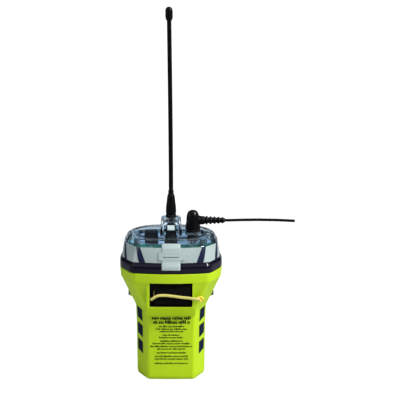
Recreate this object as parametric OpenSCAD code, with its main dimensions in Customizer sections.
// Float-free distress radio beacon: moulded lower case, clear dome, whip antenna and a pull-off lead.
// +Z is up, the front faces -Y, and the origin is the middle of the flat base.

/* [Case] */
// Half width of the case body at its widest
body_hx = 37.4; // [34:0.2:40]
// Half depth of the case body, front to back
body_hy = 38; // [35:0.2:40]
// Half width of the flat front and back of the body
body_flat = 25.5; // [23:0.5:28]
// Half length of the flat sides of the body
body_side = 12; // [8:0.5:16]
// Height where the body starts to flare
flare_z = 78; // [74:0.5:82]
// Height of the collar's lower edge
collar_z = 111; // [106:0.5:114]
// Height of the seam between collar and dome band
seam_z = 120.7; // [117:0.1:124]
// Half width of the collar
collar_hx = 55.4; // [52:0.2:58]
// Half depth of the collar
collar_hy = 52; // [49:0.2:55]
// Wall of the case
case_wall = 2.2; // [1.6:0.1:3]

/* [Dome] */
// Height of the dark band round the foot of the dome
band_h = 9.3; // [7:0.1:12]
// Height of the dome's flat top
dome_z = 156.8; // [150:0.2:165]
// Wall of the dome
dome_wall = 2.2; // [1.6:0.1:3]
// Height of the tower's top
tower_z = 172.4; // [168:0.2:176]
// Half width of the tower at its foot
tower_hx = 11.8; // [11:0.1:14]

/* [Pocket] */
// Half width of the lanyard pocket's opening
pocket_hx = 22.8; // [20:0.2:24]
// Lowest point of the opening
pocket_lo = 84.2; // [82:0.2:88]
// Highest point of the opening
pocket_hi = 110.4; // [104:0.2:110.4]
// Distance from the middle to the front of the pocket
pocket_front = 48.2; // [46:0.2:49]
// Distance from the middle to the back wall of the pocket
pocket_back = 39; // [38.4:0.2:40]
// Diameter of the buoyant line
line_d = 3; // [2:0.5:3]

/* [Antenna] */
// Diameter of the whip
rod_d = 4.8; // [3.5:0.1:5.4]
// Height of the whip's tip
rod_top = 398.8; // [300:1:450]
// Diameter of the rubber boot
boot_d = 11.2; // [9:0.2:12]
// Diameter of the tip cap
tip_d = 7.9; // [6:0.1:10]

/* [Lead] */
// Distance from the middle to the socket
socket_x = 23.6; // [22:0.2:25]
// Radius of the plug's nose
nose_r = 4.1; // [3:0.1:4.3]
// Diameter of the lead
lead_d = 3; // [2.5:0.1:4]
// Length of the plug's overmould above the socket
plug_h = 21.2; // [18:0.2:24]

/* [Battery] */
// Diameter of one lithium cell
cell_d = 26.2; // [20:0.1:27]
// Length of one cell
cell_h = 50; // [44:1:51]

/* [Controls] */
// Half width of the switch panel
panel_hx = 16; // [14:0.5:20]
// Travel of the manual switch
switch_travel = 14; // [8:1:14]
// Radius of the test button
button_r = 6.2; // [5:0.1:7]
// Travel of the test button
button_travel = 1.5; // [1:0.1:1.5]

/* [Hidden] */
$fn = 48;

clear = 0.3;      // clearance of what slides or turns
glue = 0.05;      // gap of seated pieces
skin_gap = 0.12;  // gap under the tape and the stripes
skin_t = 0.4;     // height of their outer face
bow = 5;          // how far the collar's front bows out
flare_top = collar_z - 1;

// An outline is [half width, half depth, half front flat, half side flat, bow, corner].
body_foot = [body_hx - 4.2, body_hy - 4.2, body_flat - 1.6, body_side - 1.5, 0.5, 3];
body_heel = [body_hx - 1.6, body_hy - 1.6, body_flat - 0.6, body_side - 0.8, 0.5, 3];
body_low = [body_hx - 0.7, body_hy - 0.6, body_flat - 0.2, body_side - 0.3, 0.5, 3];
body_mid = [body_hx, body_hy, body_flat, body_side, 0.5, 3];
body_top = [body_hx + 0.8, body_hy + 0.3, body_flat + 1, body_side + 0.5, 0.8, 3];
flare_end = [collar_hx - 1.4, collar_hy - 1.2, 41, 19.5, bow, 6];
collar_low = [collar_hx - 0.8, collar_hy - 0.7, 41.5, 20, bow, 6];
collar_top = [collar_hx - 0.1, collar_hy - 0.1, 42, 20.5, bow, 6];
collar_rim = [collar_hx - 0.7, collar_hy - 0.7, 41.6, 20.2, bow, 6];

// Points of a quarter turn drawn as a quadratic curve from a to b, bending round m
function curve(a, m, b, n) =
    [for (k = [0:n]) let (s = k / n) (1 - s) * (1 - s) * a + 2 * s * (1 - s) * m + s * s * b];

// Corners softened by running a curve between points a distance t along each side
function soften(v, t, n) = [for (i = [0:len(v) - 1])
    let (p = v[(i + len(v) - 1) % len(v)], q = v[(i + 1) % len(v)], m = v[i])
    each curve(m + t[i] * (p - m) / norm(p - m), m, m + t[i] * (q - m) / norm(q - m), n)];

// The twelve corners of a bowed octagon, anticlockwise from the middle of the front.
// The middle ones stand out by what the softening takes off, so the sides keep their size.
function corners(o) = let (f = o[2], s = o[3], c = o[1] - o[4], e = o[0] - o[4] / 4,
    x = o[0] + o[4] / 12, y = o[1] + o[4] * 3 / 7)
    [[0, -y], [f, -c], [e, -s], [x, 0], [e, s], [f, c],
     [0, y], [-f, c], [-e, s], [-x, 0], [-e, -s], [-f, -c]];

function rounding(o) = [for (i = [0:11]) i % 6 == 0 ? o[2] * 0.6 : (i % 3 == 0 ? o[3] * 0.5 : o[5])];
function outline(o, z) = [for (p = soften(corners(o), rounding(o), 2)) [p[0], p[1], z]];
function inset(o, d) = [o[0] - d, o[1] - d, o[2] - d * 0.42, o[3] - d * 0.28, o[4], o[5]];
function blend(a, b, s) = [for (i = [0:5]) a[i] + (b[i] - a[i]) * s];

// A rounded rectangle from y0 to y1, as wide as 2 * x
function block_outline(x, y0, y1, r, z) = [for (p = soften([[x, y0], [x, y1], [-x, y1], [-x, y0]],
    [r, r, r, r], 4)) [p[0], p[1], z]];

// Triangles between rings of n points. A joined loft closes from its last ring to its first,
// and there its triangles lean the same way as those of the wall that it lies on.
function band_faces(m, n, joined) = [for (r = [0:m - (joined ? 1 : 2)]) for (j = [0:n - 1])
    let (k = (j + 1) % n, up = (r + 1) % m, a = r * n + j, b = r * n + k, c = up * n + j, d = up * n + k)
    each (r == m - 1 ? [[a, c, b], [b, c, d]] : [[a, c, d], [a, d, b]])];

module loft(rings, joined = false) {
    n = len(rings[0]);
    m = len(rings);
    caps = joined ? [] : [[for (j = [0:n - 1]) j], [for (j = [n - 1:-1:0]) (m - 1) * n + j]];
    polyhedron(points = [for (r = rings) each r], faces = concat(band_faces(m, n, joined), caps));
}

// A round cord swept along points, with 8 sides
function heading(p, i) = let (a = p[max(i - 1, 0)], b = p[min(i + 1, len(p) - 1)]) (b - a) / norm(b - a);
function cord_ring(c, t, r) = let (u = cross(t, [0, 0, 1]) / norm(cross(t, [0, 0, 1])), v = cross(u, t))
    [for (k = [0:7]) c + r * (cos(45 * k) * u + sin(45 * k) * v)];

module cord(p, r) {
    loft([for (i = [0:len(p) - 1]) cord_ring(p[i], heading(p, i), r)]);
}

module rounded(w, h, r) {
    square([w - 2 * r, h], center = true);
    square([w, h - 2 * r], center = true);
    for (x = [-1, 1], y = [-1, 1]) translate([x * (w / 2 - r), y * (h / 2 - r)]) circle(r);
}

// A slab that lies against the back of the case: 2-D x is X and 2-D y is Z
module on_back(y0, y1) {
    translate([0, y1, 0]) rotate([90, 0, 0]) linear_extrude(y1 - y0) children();
}

module ring(r_in, r_out, h) {
    difference() {
        cylinder(r = r_out, h = h);
        translate([0, 0, -1]) cylinder(r = r_in, h = h + 2);
    }
}

// ---- case ----
floor_z = 3;
mouth = inset(collar_rim, 4.4);
cavity_low = inset(body_mid, case_wall + 0.4);
cavity_top = inset(body_top, case_wall);
cavity_end = inset(flare_end, 3);
rib_w = 3;
ledge_z = 72;
contact_z = 89.6;
contact_x = collar_hx - 9;      // outer face of the contact's head
contact_boss = contact_x - 2.2;
stripe_pitch = 18;

module case_cup() {
    loft([outline(body_foot, 0), outline(body_heel, 1.1), outline(body_low, 4), outline(body_mid, 60),
        outline(body_top, flare_z), outline(flare_end, flare_top), outline(collar_low, collar_z),
        outline(collar_top, seam_z - 0.7), outline(collar_rim, seam_z),
        outline(mouth, seam_z), outline(cavity_end, flare_top), outline(cavity_top, flare_z),
        outline(cavity_low, floor_z)]);
}

module pocket_block() {
    hx = pocket_hx + rib_w;
    translate([hx, 0, 0]) rotate([90, 0, -90]) linear_extrude(2 * hx)
        polygon([[pocket_back - 2.2, ledge_z], [body_hy, ledge_z], [pocket_front - 1, pocket_lo - 2],
            [pocket_front, pocket_lo - 1], [pocket_front, collar_z + 1], [pocket_back - 2.2, collar_z + 1]]);
}

module lower_case() {
    color([0.66, 0.82, 0.05]) difference() {
        union() {
            case_cup();
            pocket_block();
            contacts_at(contact_boss - 8) cylinder(r = 5.5, h = 8);
        }
        translate([-pocket_hx, -pocket_front - 10, pocket_lo])
            cube([2 * pocket_hx, pocket_front - pocket_back + 10, pocket_hi - pocket_lo]);
        contacts_at(contact_boss - 9) cylinder(r = 2, h = 12);
        contacts_at(contact_boss) cylinder(r = 4.4 + clear, h = 12);
    }
}

// A corner facet of the body, from the front edge (u = 0) to the side edge (u = 1)
function body_at(z) = z < 60 ? blend(body_low, body_mid, (z - 4) / 56)
    : blend(body_mid, body_top, (z - 60) / (flare_z - 60));
function facet(z, u, out) = let (v = corners(inset(body_at(z), -out)))
    [v[1][0] + (v[2][0] - v[1][0]) * u, v[1][1] + (v[2][1] - v[1][1]) * u, z];

module stripe(k) {
    z = -k * stripe_pitch;
    q = [[0.42, 62.8], [0.86, 66], [0.86, 77.6], [0.42, 75.8]];
    polyhedron(points = [for (out = [skin_gap, skin_t]) for (p = q) facet(z + p[1], p[0], out)],
        faces = [[0, 1, 2], [0, 2, 3], [4, 6, 5], [4, 7, 6], [0, 5, 1], [0, 4, 5], [1, 6, 2], [1, 5, 6],
            [2, 7, 3], [2, 6, 7], [3, 4, 0], [3, 7, 4]]);
}

module side_stripes() {
    color([0.06, 0.1, 0.2]) for (s = [0, 1]) mirror([s, 0, 0]) for (k = [0:2]) {
        stripe(k);
        mirror([0, 1, 0]) stripe(k);
    }
}

// ---- dome, band and what is stuck to them ----
band_top = seam_z + band_h;
dome_foot = inset(collar_top, 1.6);
dome_low = inset(collar_top, 2.6);
dome_high = [collar_hx - 5.4, collar_hy - 5.6, 36, 20, 4, 6];
dome_bend = [collar_hx - 7.4, collar_hy - 8.5, 34, 19, 3.6, 7];
dome_roll = [collar_hx - 11.4, collar_hy - 12.5, 30, 17, 3, 7];
dome_flat = [collar_hx - 17, collar_hy - 17, 25, 14.5, 2.4, 7];
shoulder_z = dome_z - 8.6;
gasket_h = 1.2;
dome_lo = seam_z + gasket_h;
tower_front = -21;
tower_back = 11.5;
socket_r = 6;

module dome_shell() {
    w = dome_wall;
    loft([outline(inset(dome_flat, w * 0.6), dome_z - w), outline(inset(dome_roll, w), dome_z - 1.3 - w),
        outline(inset(dome_bend, w), dome_z - 4.3 - w * 0.7),
        outline(inset(dome_high, w), shoulder_z - w * 0.3),
        outline(inset(dome_low, w), band_top), outline(inset(dome_foot, w), dome_lo),
        outline(dome_foot, dome_lo), outline(dome_foot, band_top - 0.4), outline(dome_low, wall_lo),
        wall_ring(0, tape_lo), outline(dome_high, shoulder_z), outline(dome_bend, dome_z - 4.3),
        outline(dome_roll, dome_z - 1.3), outline(dome_flat, dome_z)]);
}

module tower(grow, z0, z1) {
    x = tower_hx + grow;
    front = tower_front - grow;
    back = tower_back + grow;
    loft([block_outline(x, front, back, 4, z0), block_outline(x - 0.9, front + 1.4, back - 1, 4, z1 - 3),
        block_outline(x - 1.4, front + 2, back - 1.6, 4, z1 - 1),
        block_outline(x - 2.6, front + 3.2, back - 3, 3, z1)]);
}

module dome() {
    color([0.55, 0.68, 0.78, 0.35]) difference() {
        union() {
            dome_shell();
            tower(0, dome_z - dome_wall + 0.4, tower_z);
        }
        tower(-dome_wall, dome_z - dome_wall - 2, tower_z - dome_wall);
        translate([socket_x, 0, dome_z - 6]) cylinder(r = socket_r + glue, h = 12);
        translate([0, 0, tower_z - 6]) cylinder(r = 3 + glue, h = 12);
    }
}

module rim_band() {
    color([0.05, 0.06, 0.12]) loft([outline(inset(dome_foot, -glue), seam_z + glue),
        outline(collar_rim, seam_z + glue), outline(collar_top, seam_z + 1),
        outline(collar_top, band_top - 4), outline(inset(collar_top, 0.4), band_top - 1.2),
        outline(inset(collar_top, 1.2), band_top - 0.45), outline(inset(dome_foot, -glue), band_top - 0.45)],
        joined = true);
}

module dome_gasket() {
    color([0.1, 0.1, 0.1]) loft([outline(inset(dome_foot, dome_wall), seam_z), outline(dome_foot, seam_z),
        outline(dome_foot, dome_lo), outline(inset(dome_foot, dome_wall), dome_lo)], joined = true);
}

tape_lo = band_top + 2.4;
tape_hi = shoulder_z;
wall_lo = band_top + 1.6;
function wall_ring(out, z) = let (s = (z - wall_lo) / (shoulder_z - wall_lo),
    a = outline(inset(dome_low, -out), z), b = outline(inset(dome_high, -out), z))
    [for (i = [0:len(a) - 1]) a[i] + (b[i] - a[i]) * s];
function wall_hy(z) = dome_low[1] + (dome_high[1] - dome_low[1]) * (z - wall_lo) / (shoulder_z - wall_lo);

module reflector_tape() {
    color([0.78, 0.82, 0.84]) loft([wall_ring(skin_gap, tape_lo), wall_ring(skin_t, tape_lo),
        wall_ring(skin_t, tape_hi), wall_ring(skin_gap, tape_hi)], joined = true);
}

// The seal label runs from the band, over the tape and onto the dome's shoulder
label_hx = 9.9;
label_gap = skin_t + glue;
label_line = [[collar_hy + glue, band_top - 5], [collar_hy + glue, band_top - 1.6],
    [wall_hy(tape_lo) + label_gap, tape_lo + 0.3], [wall_hy(tape_hi) + label_gap, tape_hi - 0.2],
    [dome_bend[1] + 0.25, dome_z - 4.0]];

module label_strip(hx, pts) {
    translate([hx, 0, 0]) rotate([90, 0, -90]) linear_extrude(2 * hx)
        polygon(concat(pts, [for (i = [len(pts) - 1:-1:0]) pts[i] + [0.3, 0.12]]));
}

module seal_label() {
    color([0.85, 0.88, 0.88]) label_strip(label_hx, label_line);
}

// ---- stowed line ----
line_route = [[-21.05, -41, 92], [-21.05, -43.4, 92], [-21, -45.6, 92.1], [-20.6, -47.6, 92.6],
    [-19, -48.8, 94], [-16, -48.8, 96], [-12, -48.8, 97], [-6, -48.8, 97.2], [0, -48.8, 96.6],
    [6, -48.8, 95.8], [12, -48.8, 95], [18, -49, 94.4], [22, -49.6, 94], [25, -50, 93.8],
    [27.6, -49.6, 93.4], [29.4, -48, 93], [30.6, -46.4, 92.6]];
pad_front = 47;
pad_t = 2;
pad_z = (pocket_lo + pocket_hi) / 2;
pad_left = -pocket_hx + line_d + 2 * clear + 0.3;   // the line comes out past this edge
pad_right = pocket_hx - clear;

module lanyard_pad() {
    color([0.03, 0.03, 0.03]) translate([(pad_left + pad_right) / 2, -pad_front + pad_t, pad_z])
        rotate([90, 0, 0]) linear_extrude(pad_t)
            rounded(pad_right - pad_left, pocket_hi - pocket_lo - 2 * clear, 1.5);
}

// Two flat layers of turns, wound as a long oval behind the pad
hank_r = 12;
hank_run = 17;

module lanyard_hank() {
    y0 = pocket_back + 0.2;
    y1 = pad_front - pad_t - 0.2;
    color([0.85, 0.78, 0.4]) translate([0, -y0, pad_z]) rotate([90, 0, 0]) linear_extrude(y1 - y0) {
        square([hank_run, 2 * hank_r], center = true);
        for (s = [-1, 1]) translate([s * hank_run / 2, 0]) circle(hank_r);
    }
}

module lanyard_line() {
    color([0.88, 0.82, 0.5]) cord(line_route, line_d / 2);
}

module lanyard_knot() {
    last = len(line_route) - 1;
    way = heading(line_route, last);
    color([0.85, 0.78, 0.4]) translate(line_route[last] + 0.03 * way)
        rotate([0, acos(way[2]), atan2(way[1], way[0])]) cylinder(r = 2.6, h = 3.4);
}

// ---- antenna ----
pivot_z = 178;
ball_r = boot_d / 2;
grip_z = pivot_z + 4;
tip_h = 14.6;

module antenna_rod() {
    color([0.05, 0.05, 0.05]) translate([0, 0, grip_z]) cylinder(d = rod_d, h = rod_top - 2.6 - grip_z);
}

module antenna_tip() {
    r = tip_d / 2;
    color([0.04, 0.04, 0.04]) translate([0, 0, rod_top]) rotate_extrude()
        polygon([[0, -2.5], [rod_d / 2 + glue, -2.5], [rod_d / 2 + glue, -tip_h], [r - 0.9, -tip_h],
            [r, -tip_h + 3], [r, -4.6], [r - 0.5, -2.8], [r - 1.6, -1.1], [1.2, -0.2], [0, 0]]);
}

module antenna_boot() {
    color([0.04, 0.04, 0.04]) difference() {
        union() {
            translate([0, 0, pivot_z]) sphere(r = ball_r);
            translate([0, 0, pivot_z]) rotate_extrude()
                polygon([[0, 0], [ball_r, 0], [ball_r - 0.2, 6], [ball_r - 0.9, 11], [ball_r - 1.4, 16],
                    [ball_r - 1.6, 17.6], [ball_r - 2.6, 20], [rod_d / 2 + 0.5, 23.8], [0, 23.8]]);
        }
        translate([0, 0, grip_z]) cylinder(d = rod_d + 2 * glue, h = 40);
        translate([0, 0, grip_z - glue]) cylinder(r = 4.1 + glue, h = 8.1);
    }
}

module antenna_ferrule() {
    color([0.8, 0.65, 0.3]) translate([0, 0, grip_z]) ring(rod_d / 2 + glue / 2, 4.1, 8);
}

module antenna_base() {
    color([0.08, 0.08, 0.08]) difference() {
        union() {
            translate([0, 0, tower_z + 0.6]) cylinder(r = boot_d / 2 + 0.1, h = 2.2);
            translate([0, 0, tower_z - 9]) cylinder(r = 3, h = 10);
        }
        translate([0, 0, pivot_z]) sphere(r = ball_r + 0.08);
        translate([0, 0, tower_z - 10]) cylinder(r = 1, h = 20);
    }
}

module antenna_washer() {
    color([0.12, 0.12, 0.12]) translate([0, 0, tower_z]) ring(3 + glue, 5.4, 0.6);
}

module antenna_nut() {
    color([0.75, 0.75, 0.72]) translate([0, 0, tower_z - dome_wall - 3.2]) difference() {
        cylinder(r = 5.2, h = 3.2, $fn = 6);
        translate([0, 0, -1]) cylinder(r = 3 + glue / 2, h = 6);
    }
}

// ---- boards, lamp and chassis ----
board_t = 1.6;
top_board_z = 143.4;
main_board_z = 104;
post_x = 22;
post_y = 20;
screw_r = 1.5;
lamp_y = -16.6;
lamp_h = 5.6;     // height of the lamp's window
lamp_z = 161;
module at_posts() {
    for (x = [-1, 1], y = [-1, 1]) translate([x * post_x, y * post_y, 0]) children();
}

module board(o, z) {
    color([0.05, 0.35, 0.25]) difference() {
        loft([outline(o, z), outline(o, z + board_t)]);
        at_posts() translate([0, 0, z - 1]) cylinder(r = screw_r + 0.2, h = 4);
        children();
    }
}

module top_board() {
    board([45, 41.5, 31, 16, 4, 5], top_board_z) {
        translate([-4.2, -9.6, top_board_z - 1]) cube([8.4, 4, 4]);
    }
}

module main_board() {
    board([44, 33.5, 30, 14, 0.5, 4], main_board_z);
}

top_face = top_board_z + board_t;

module lamp_holder() {
    color([0.04, 0.04, 0.04]) difference() {
        union() {
            translate([-6.9, lamp_y, top_face]) cube([13.8, 6, 9]);
            translate([-5.6, lamp_y, top_face]) cube([11.2, 5, 19]);
            translate([0, lamp_y + 5, top_face + 19]) rotate([90, 0, 0]) cylinder(r = 5.6, h = 5);
        }
        translate([-4 - clear, lamp_y - 1, lamp_z - clear]) cube([8 + 2 * clear, 2.2, lamp_h + 2 * clear]);
        translate([-7, lamp_y - 1, tower_z - dome_wall - 1.6]) cube([14, 8, 8]);
    }
}

module lamp_led() {
    color([0.95, 0.93, 0.8]) translate([-4, lamp_y + 0.2, lamp_z])
        cube([8, 0.95, lamp_h]);
}

module gnss_module() {
    color([0.03, 0.03, 0.03]) translate([-28.8, 0.5, top_face + glue]) cube([14.8, 16, 8.4]);
}

module board_parts() {
    color([0.12, 0.12, 0.12]) {
        translate([30, -8, top_face + glue]) cube([8, 12, 3]);
        translate([-12, 14, top_face + glue]) cube([10, 10, 1.6]);
        translate([4, 20, top_face + glue]) cube([8, 6, 1.6]);
        translate([-36, -16, top_face + glue]) cylinder(r = 3.2, h = 6.5);
        translate([34, -20, top_face + glue]) cylinder(r = 3.2, h = 6.5);
        translate([-6, -34, top_face + glue]) cube([12, 5, 1.6]);
    }
}

module standoffs() {
    foot = main_board_z + board_t;
    color([0.8, 0.65, 0.3]) at_posts() {
        difference() {
            translate([0, 0, foot]) cylinder(r = 3, h = top_board_z - foot, $fn = 6);
            translate([0, 0, top_board_z - 10]) cylinder(r = screw_r, h = 12);
        }
        translate([0, 0, main_board_z - 6]) cylinder(r = screw_r - glue, h = 6 + board_t);
    }
}

module top_screws() {
    color([0.75, 0.75, 0.75]) at_posts() {
        translate([0, 0, top_face - 8]) cylinder(r = screw_r - glue, h = 8);
        translate([0, 0, top_face]) cylinder(r = 2.75, h = 1.8);
    }
}

module rf_shield() {
    color([0.75, 0.76, 0.78]) translate([-14, -14, main_board_z + board_t + glue]) cube([28, 24, 4.4]);
}

module main_parts() {
    z = main_board_z + board_t + glue;
    color([0.1, 0.1, 0.1]) {
        translate([30, -6, z]) cube([10, 10, 2]);
        translate([-40, -8, z]) cube([9, 14, 2.4]);
        translate([-8, 16, z]) cube([16, 8, 5]);
        translate([36, 12, z]) cylinder(r = 4, h = 9);
    }
}

// The battery stands on foam, held between cradle and cap, and the chassis stands on the cap.
foam_h = 1.6;
cradle_z = floor_z + foam_h;
cell_z = cradle_z + 2;
cell_gap = cell_d + 1;
cap_z = cell_z + cell_h - 6;
cap_top = cell_z + cell_h + 3;
tray = [body_hx - 4, body_hy - 4, body_flat - 1.6, body_side - 1, 0.5, 3];

module at_cells() {
    for (x = [-1, 1], y = [-1, 1]) translate([x * cell_gap / 2, y * cell_gap / 2, 0]) children();
}

module base_foam() {
    color([0.2, 0.2, 0.22]) loft([outline(tray, floor_z), outline(tray, cradle_z)]);
}

module battery_cradle() {
    color([0.1, 0.1, 0.1]) difference() {
        loft([outline(tray, cradle_z), outline(tray, cell_z + 10)]);
        at_cells() translate([0, 0, cell_z]) cylinder(d = cell_d + 0.3, h = 12);
    }
}

module battery_cells() {
    color([0.25, 0.3, 0.45]) at_cells() {
        translate([0, 0, cell_z]) cylinder(d = cell_d, h = cell_h - 1.4);
        translate([0, 0, cell_z + cell_h - 1.4]) cylinder(r = 4, h = 1.4);
    }
}

module battery_tabs() {
    color([0.78, 0.76, 0.7]) for (s = [-1, 1])
        translate([-cell_gap / 2 - 4, s * cell_gap / 2 - 3, cell_z + cell_h]) cube([cell_gap + 8, 6, 0.3]);
}

module battery_cap() {
    color([0.1, 0.1, 0.1]) difference() {
        loft([outline(tray, cap_z), outline(tray, cap_top)]);
        at_cells() translate([0, 0, cap_z - 1]) cylinder(d = cell_d + 0.3, h = cell_h + cell_z - cap_z + 1.5);
        for (s = [-1, 1]) translate([-cell_gap / 2 - 5, s * cell_gap / 2 - 4, cell_z + cell_h - 2])
            cube([cell_gap + 10, 8, 2.5]);
    }
}

module chassis() {
    color([0.1, 0.1, 0.1]) difference() {
        union() {
            loft([outline(tray, cap_top), outline(tray, cap_top + 3)]);
            at_posts() translate([0, 0, cap_top]) cylinder(r = 4, h = main_board_z - cap_top);
        }
        translate([0, 0, cap_top - 1]) cylinder(r = 12, h = 8);
        at_posts() translate([0, 0, main_board_z - 8]) cylinder(r = screw_r, h = 10);
    }
}

// ---- socket, plug and lead ----
flange_z = dome_z + 0.8;
plug_z = flange_z + 1.2;
nose_z = plug_z - 8;
lead_z = 168.6;
plug_r = 7;
relief_x0 = socket_x + plug_r + 0.8;
relief_x1 = 58.4;
rib_pitch = 4.3;
lead_route = [[58.4, 0, 168.6], [62, 0, 168.6], [68, 0, 168.7], [75, 0, 168.9], [82, 0, 169],
    [89, 0, 169.1], [96, 0, 169.1], [103, 0, 169], [110, 0, 168.9], [117, 0, 168.7], [124, 0, 168.4],
    [130, 0, 168.1], [134, 0, 167.9]];

module socket_body() {
    color([0.08, 0.08, 0.08]) translate([socket_x, 0, 0]) difference() {
        union() {
            translate([0, 0, flange_z]) cylinder(r = 8.4, h = 1.1);
            translate([0, 0, nose_z - 3]) cylinder(r = socket_r, h = flange_z - nose_z + 3.5);
        }
        translate([0, 0, nose_z - 0.6]) cylinder(r = nose_r + 0.08, h = 14);
        for (s = [-1, 1]) translate([s * 1.9, 0, nose_z - 4]) cylinder(r = 0.7, h = 6);
    }
}

module socket_washer() {
    color([0.12, 0.12, 0.12]) translate([socket_x, 0, dome_z]) ring(socket_r + glue, 8, 0.8);
}

module socket_nut() {
    color([0.75, 0.75, 0.72]) translate([socket_x, 0, dome_z - dome_wall - 3]) difference() {
        cylinder(r = 8.6, h = 3, $fn = 6);
        translate([0, 0, -1]) cylinder(r = socket_r + glue / 2, h = 6);
    }
}

module socket_contacts() {
    color([0.85, 0.7, 0.3]) translate([socket_x, 0, 0]) for (s = [-1, 1])
        translate([s * 1.9, 0, nose_z - 5]) cylinder(r = 0.68, h = 10.5);
}

module plug_insert() {
    color([0.1, 0.1, 0.1]) translate([socket_x, 0, 0]) difference() {
        translate([0, 0, nose_z]) cylinder(r = nose_r, h = 11);
        for (s = [-1, 1]) translate([s * 1.9, 0, nose_z - 1]) cylinder(r = 0.8, h = 8);
    }
}

module plug_body() {
    color([0.04, 0.04, 0.04]) difference() {
        union() {
            translate([socket_x, 0, plug_z]) rotate_extrude()
                polygon([[0, 0], [8.3, 0], [8.2, 2.4], [plug_r + 0.1, 9], [plug_r - 0.2, 14.4],
                    [plug_r - 1, 17.6], [plug_r - 2.6, 20], [plug_r - 4.6, 21], [0, plug_h]]);
            translate([socket_x, 0, lead_z]) rotate([0, 90, 0]) cylinder(r = 5.2, h = relief_x0 - socket_x);
        }
        translate([socket_x, 0, plug_z - 1]) cylinder(r = nose_r + glue, h = 4.2);
    }
}

module strain_relief() {
    color([0.05, 0.05, 0.05]) translate([relief_x0, 0, lead_z]) rotate([0, 90, 0]) {
        cylinder(r1 = 4.8, r2 = 4.4, h = 5);
        cylinder(r1 = 3.7, r2 = 2.5, h = relief_x1 - relief_x0);
        for (k = [0:4]) translate([0, 0, 6 + k * rib_pitch])
            cylinder(r1 = 4.7 - 0.3 * k, r2 = 4.6 - 0.3 * k, h = 2.2);
    }
}

module lead_cable() {
    color([0.03, 0.03, 0.03]) cord(lead_route, lead_d / 2);
}

module lead_conductors() {
    end = lead_route[len(lead_route) - 1];
    color([0.8, 0.5, 0.3]) for (s = [-1, 1]) translate(end + [0, s * 0.55, 0])
        rotate([0, 90, 0]) cylinder(r = 0.4, h = 0.4);
}

// ---- sea-water contacts on the sides ----
module contacts_at(x) {
    for (s = [-1, 1]) translate([s * x, 0, contact_z]) rotate([0, s * 90, 0]) children();
}

module water_contacts() {
    color([0.5, 0.52, 0.5]) {
        contacts_at(contact_boss) cylinder(r = 4.4, h = contact_x - contact_boss);
        contacts_at(contact_boss - 13) cylinder(r = 2 - glue, h = 13);
    }
}

module contact_nuts() {
    color([0.7, 0.7, 0.68]) contacts_at(contact_boss - 8 - 2.6) difference() {
        cylinder(r = 4, h = 2.6, $fn = 6);
        translate([0, 0, -1]) cylinder(r = 2, h = 5);
    }
}

// ---- manual switch and test button on the back ----
panel_y0 = body_hy + 0.4;
panel_y1 = panel_y0 + 5.5;
panel_mid = 43;
panel_h = 62;
groove_lo = 42;
foot_h = 14;
groove_y = panel_y0 + 1.4;
slot_y = panel_y0 + 3.3;
button_z = 26;
button_out = 1;

module panel_slot(w, lo, hi) {
    translate([0, (lo + hi) / 2]) square([w, hi - lo], center = true);
}

module switch_panel() {
    color([0.1, 0.11, 0.12]) difference() {
        on_back(panel_y0, panel_y1) translate([0, panel_mid]) rounded(2 * panel_hx, panel_h, 5);
        on_back(groove_y, slot_y)
            panel_slot(17.6, groove_lo - clear, groove_lo + foot_h + switch_travel + clear);
        on_back(slot_y - 1, panel_y1 + 1)
            panel_slot(14.2, groove_lo + 2 - clear, groove_lo + foot_h - 2 + switch_travel + clear);
        translate([0, 0, button_z]) rotate([-90, 0, 0]) {
            cylinder(r = button_r + clear, h = 60);
            cylinder(r = button_r + 1.9, h = slot_y);
        }
        for (x = [-1, 1], z = [-1, 1]) translate([x * (panel_hx - 3.6), 0, panel_mid + z * (panel_h / 2 - 4)])
            rotate([-90, 0, 0]) {
                cylinder(r = 1.25, h = 60);
                translate([0, 0, panel_y1 - 1.6]) cylinder(r = 2.5, h = 4);
            }
    }
}

module panel_screws() {
    color([0.75, 0.75, 0.75]) for (x = [-1, 1], z = [-1, 1])
        translate([x * (panel_hx - 3.6), 0, panel_mid + z * (panel_h / 2 - 4)]) rotate([-90, 0, 0]) {
            translate([0, 0, panel_y0]) cylinder(r = 1.2, h = 5);
            translate([0, 0, panel_y1 - 1.6]) cylinder(r = 2.4, h = 1.4);
        }
}

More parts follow.
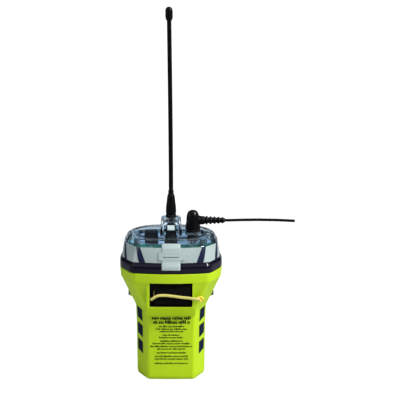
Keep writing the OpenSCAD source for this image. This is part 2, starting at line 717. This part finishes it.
module switch_slider() {
    color([0.85, 0.3, 0.05]) difference() {
        union() {
            on_back(groove_y + clear, slot_y - clear) panel_slot(17, groove_lo, groove_lo + foot_h);
            on_back(groove_y + clear, panel_y1 + 3) panel_slot(13.6, groove_lo + 2, groove_lo + foot_h - 2);
        }
        for (k = [0:2]) translate([-8, panel_y1 + 1.8, groove_lo + 4 + k * 2.4]) cube([16, 3, 1.2]);
        translate([0, 0, groove_lo + foot_h / 2]) rotate([-90, 0, 0])
            cylinder(r = 3 + glue, h = groove_y + 3);
    }
}

module slider_magnet() {
    color([0.7, 0.7, 0.72]) translate([0, groove_y + clear, groove_lo + foot_h / 2]) rotate([-90, 0, 0])
        cylinder(r = 3, h = 2.6);
}

module test_button() {
    flange_y = panel_y0 + button_travel + clear;
    color([0.1, 0.2, 0.5]) translate([0, 0, button_z]) rotate([-90, 0, 0]) difference() {
        union() {
            translate([0, 0, slot_y - 1]) cylinder(r = button_r, h = panel_y1 + button_out - slot_y + 1);
            translate([0, 0, flange_y]) cylinder(r = button_r + 1.5, h = slot_y - clear - flange_y);
        }
        translate([0, 0, panel_y0]) cylinder(r = button_r - 1.2, h = panel_y1 - panel_y0 - 0.4);
    }
}

module button_spring() {
    turns = 3;
    pitch = 1.05;
    color([0.75, 0.75, 0.72]) translate([0, panel_y0 + glue, button_z]) rotate([-90, 0, 0])
        for (k = [0:turns - 1]) translate([0, 0, 0.4 + k * pitch])
            rotate_extrude() translate([button_r - 2, 0]) circle(r = 0.35, $fn = 16);
}

lower_case();
dome();
rim_band();
dome_gasket();
reflector_tape();
seal_label();
side_stripes();
lanyard_pad();
lanyard_hank();
lanyard_line();
lanyard_knot();
antenna_rod();
antenna_tip();
antenna_boot();
antenna_ferrule();
antenna_base();
antenna_washer();
antenna_nut();
lamp_holder();
lamp_led();
top_board();
gnss_module();
board_parts();
standoffs();
top_screws();
main_board();
rf_shield();
main_parts();
chassis();
battery_cap();
battery_tabs();
battery_cells();
battery_cradle();
base_foam();
socket_body();
socket_washer();
socket_nut();
socket_contacts();
plug_body();
plug_insert();
strain_relief();
lead_cable();
lead_conductors();
water_contacts();
contact_nuts();
switch_panel();
panel_screws();
switch_slider();
slider_magnet();
test_button();
button_spring();
